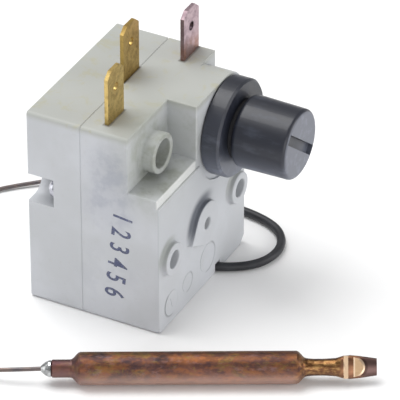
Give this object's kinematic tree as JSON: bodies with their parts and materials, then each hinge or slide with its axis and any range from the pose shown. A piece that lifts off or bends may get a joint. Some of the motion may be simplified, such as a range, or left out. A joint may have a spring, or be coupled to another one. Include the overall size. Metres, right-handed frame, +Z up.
{
  "type": "safety thermostat",
  "caption": "Capillary safety thermostat with a moulded housing, blade terminals, a hidden manual reset under a screwed cap and a remote copper sensing bulb.",
  "frame": {"origin": "under the middle of the thermostat's body, on the surface that its underside rests on; the free cord and bulb are left out of that middle", "axes": "+X from the rear cover to the protective cap, +Y from the side with the screw notch at the near side to the far side, +Z up to the blade terminals"},
  "size_m": [0.1008, 0.0989, 0.0553],
  "materials": {
    "housing": "fine matt moulding",
    "black_plastic": "satin",
    "button": "matt",
    "rubber": "matt",
    "sleeve": "satin",
    "brass": "stamped",
    "copper": "stamped",
    "spring_copper": "rolled",
    "bulb_copper": "annealed, with dark oxide",
    "solder": "bright solder",
    "contact": "silver",
    "steel": "rolled",
    "screw": "plated",
    "ceramic": "glazed"
  },
  "bodies": {
    "housing": {"front_housing": "housing", "rear_cover": "housing", "cover_screw_near": "screw", "cover_screw_far": "screw", "terminal_common": "brass", "terminal_main": "brass", "terminal_signal": "copper", "fixed_contact_main": "contact", "fixed_contact_signal": "contact", "lever_pin": "steel", "capsule_cup": "steel", "capsule_diaphragm": "steel", "calibration_screw": "brass", "calibration_spring": "steel", "threaded_bush": "brass", "spring_seat": "steel", "reset_spring": "steel", "ring_nut": "black_plastic", "capillary_inner": "copper", "sleeve_in_groove": "sleeve", "sleeve_lead": "sleeve", "sleeve_coil": "sleeve", "sleeve_tail": "sleeve", "capillary_run": "copper", "bulb_solder": "solder", "sensing_bulb": "bulb_copper"},
    "lever": {"trip_lever": "steel"},
    "switch_blade": {"contact_blade": "spring_copper", "moving_contact_main": "contact", "moving_contact_signal": "contact"},
    "push_pin": {"push_pin": "ceramic"},
    "reset_button": {"reset_plunger": "button"},
    "cap_seal": {"cap_washer": "rubber"},
    "cap": {"protective_cap": "black_plastic"}
  },
  "joints": [
    {"name": "lever_tilt", "type": "hinge", "parent": "housing", "child": "lever", "pos_m": [-0.0127, -0.00061, 0.0062], "axis": [0, 1, 0], "range_deg": [0, 0.72], "deforming": ["calibration_spring"]},
    {"name": "blade_snap", "type": "hinge", "parent": "housing", "child": "switch_blade", "pos_m": [-0.00715, -0.00941, 0.03385], "axis": [0, 0, -1], "range_deg": [0, 2.3]},
    {"name": "pin_push", "type": "slide", "parent": "housing", "child": "push_pin", "axis": [1, 0, 0], "range_m": [0, 0.000117]},
    {"name": "reset_press", "type": "slide", "parent": "housing", "child": "reset_button", "axis": [-1, 0, 0], "range_m": [0, 0.0015], "stiffness_N_per_m": 350, "springref_m": -0.001, "deforming": ["reset_spring"]},
    {"name": "cap_lift", "type": "slide", "parent": "housing", "child": "cap_seal", "axis": [1, 0, 0], "range_m": [0, 0.0078]},
    {"name": "cap_turn", "type": "hinge", "parent": "cap_seal", "child": "cap", "pos_m": [0.0107, 0.00885, 0.03325], "axis": [1, 0, 0], "range_deg": [0, 2811]}
  ],
  "couplings": [
    {"joint": "lever_tilt", "follows": "pin_push", "rad_per_m": 104.71},
    {"joint": "blade_snap", "follows": "pin_push", "rad_per_m": 340.31},
    {"joint": "cap_turn", "follows": "cap_lift", "rad_per_m": 6283.2}
  ]
}
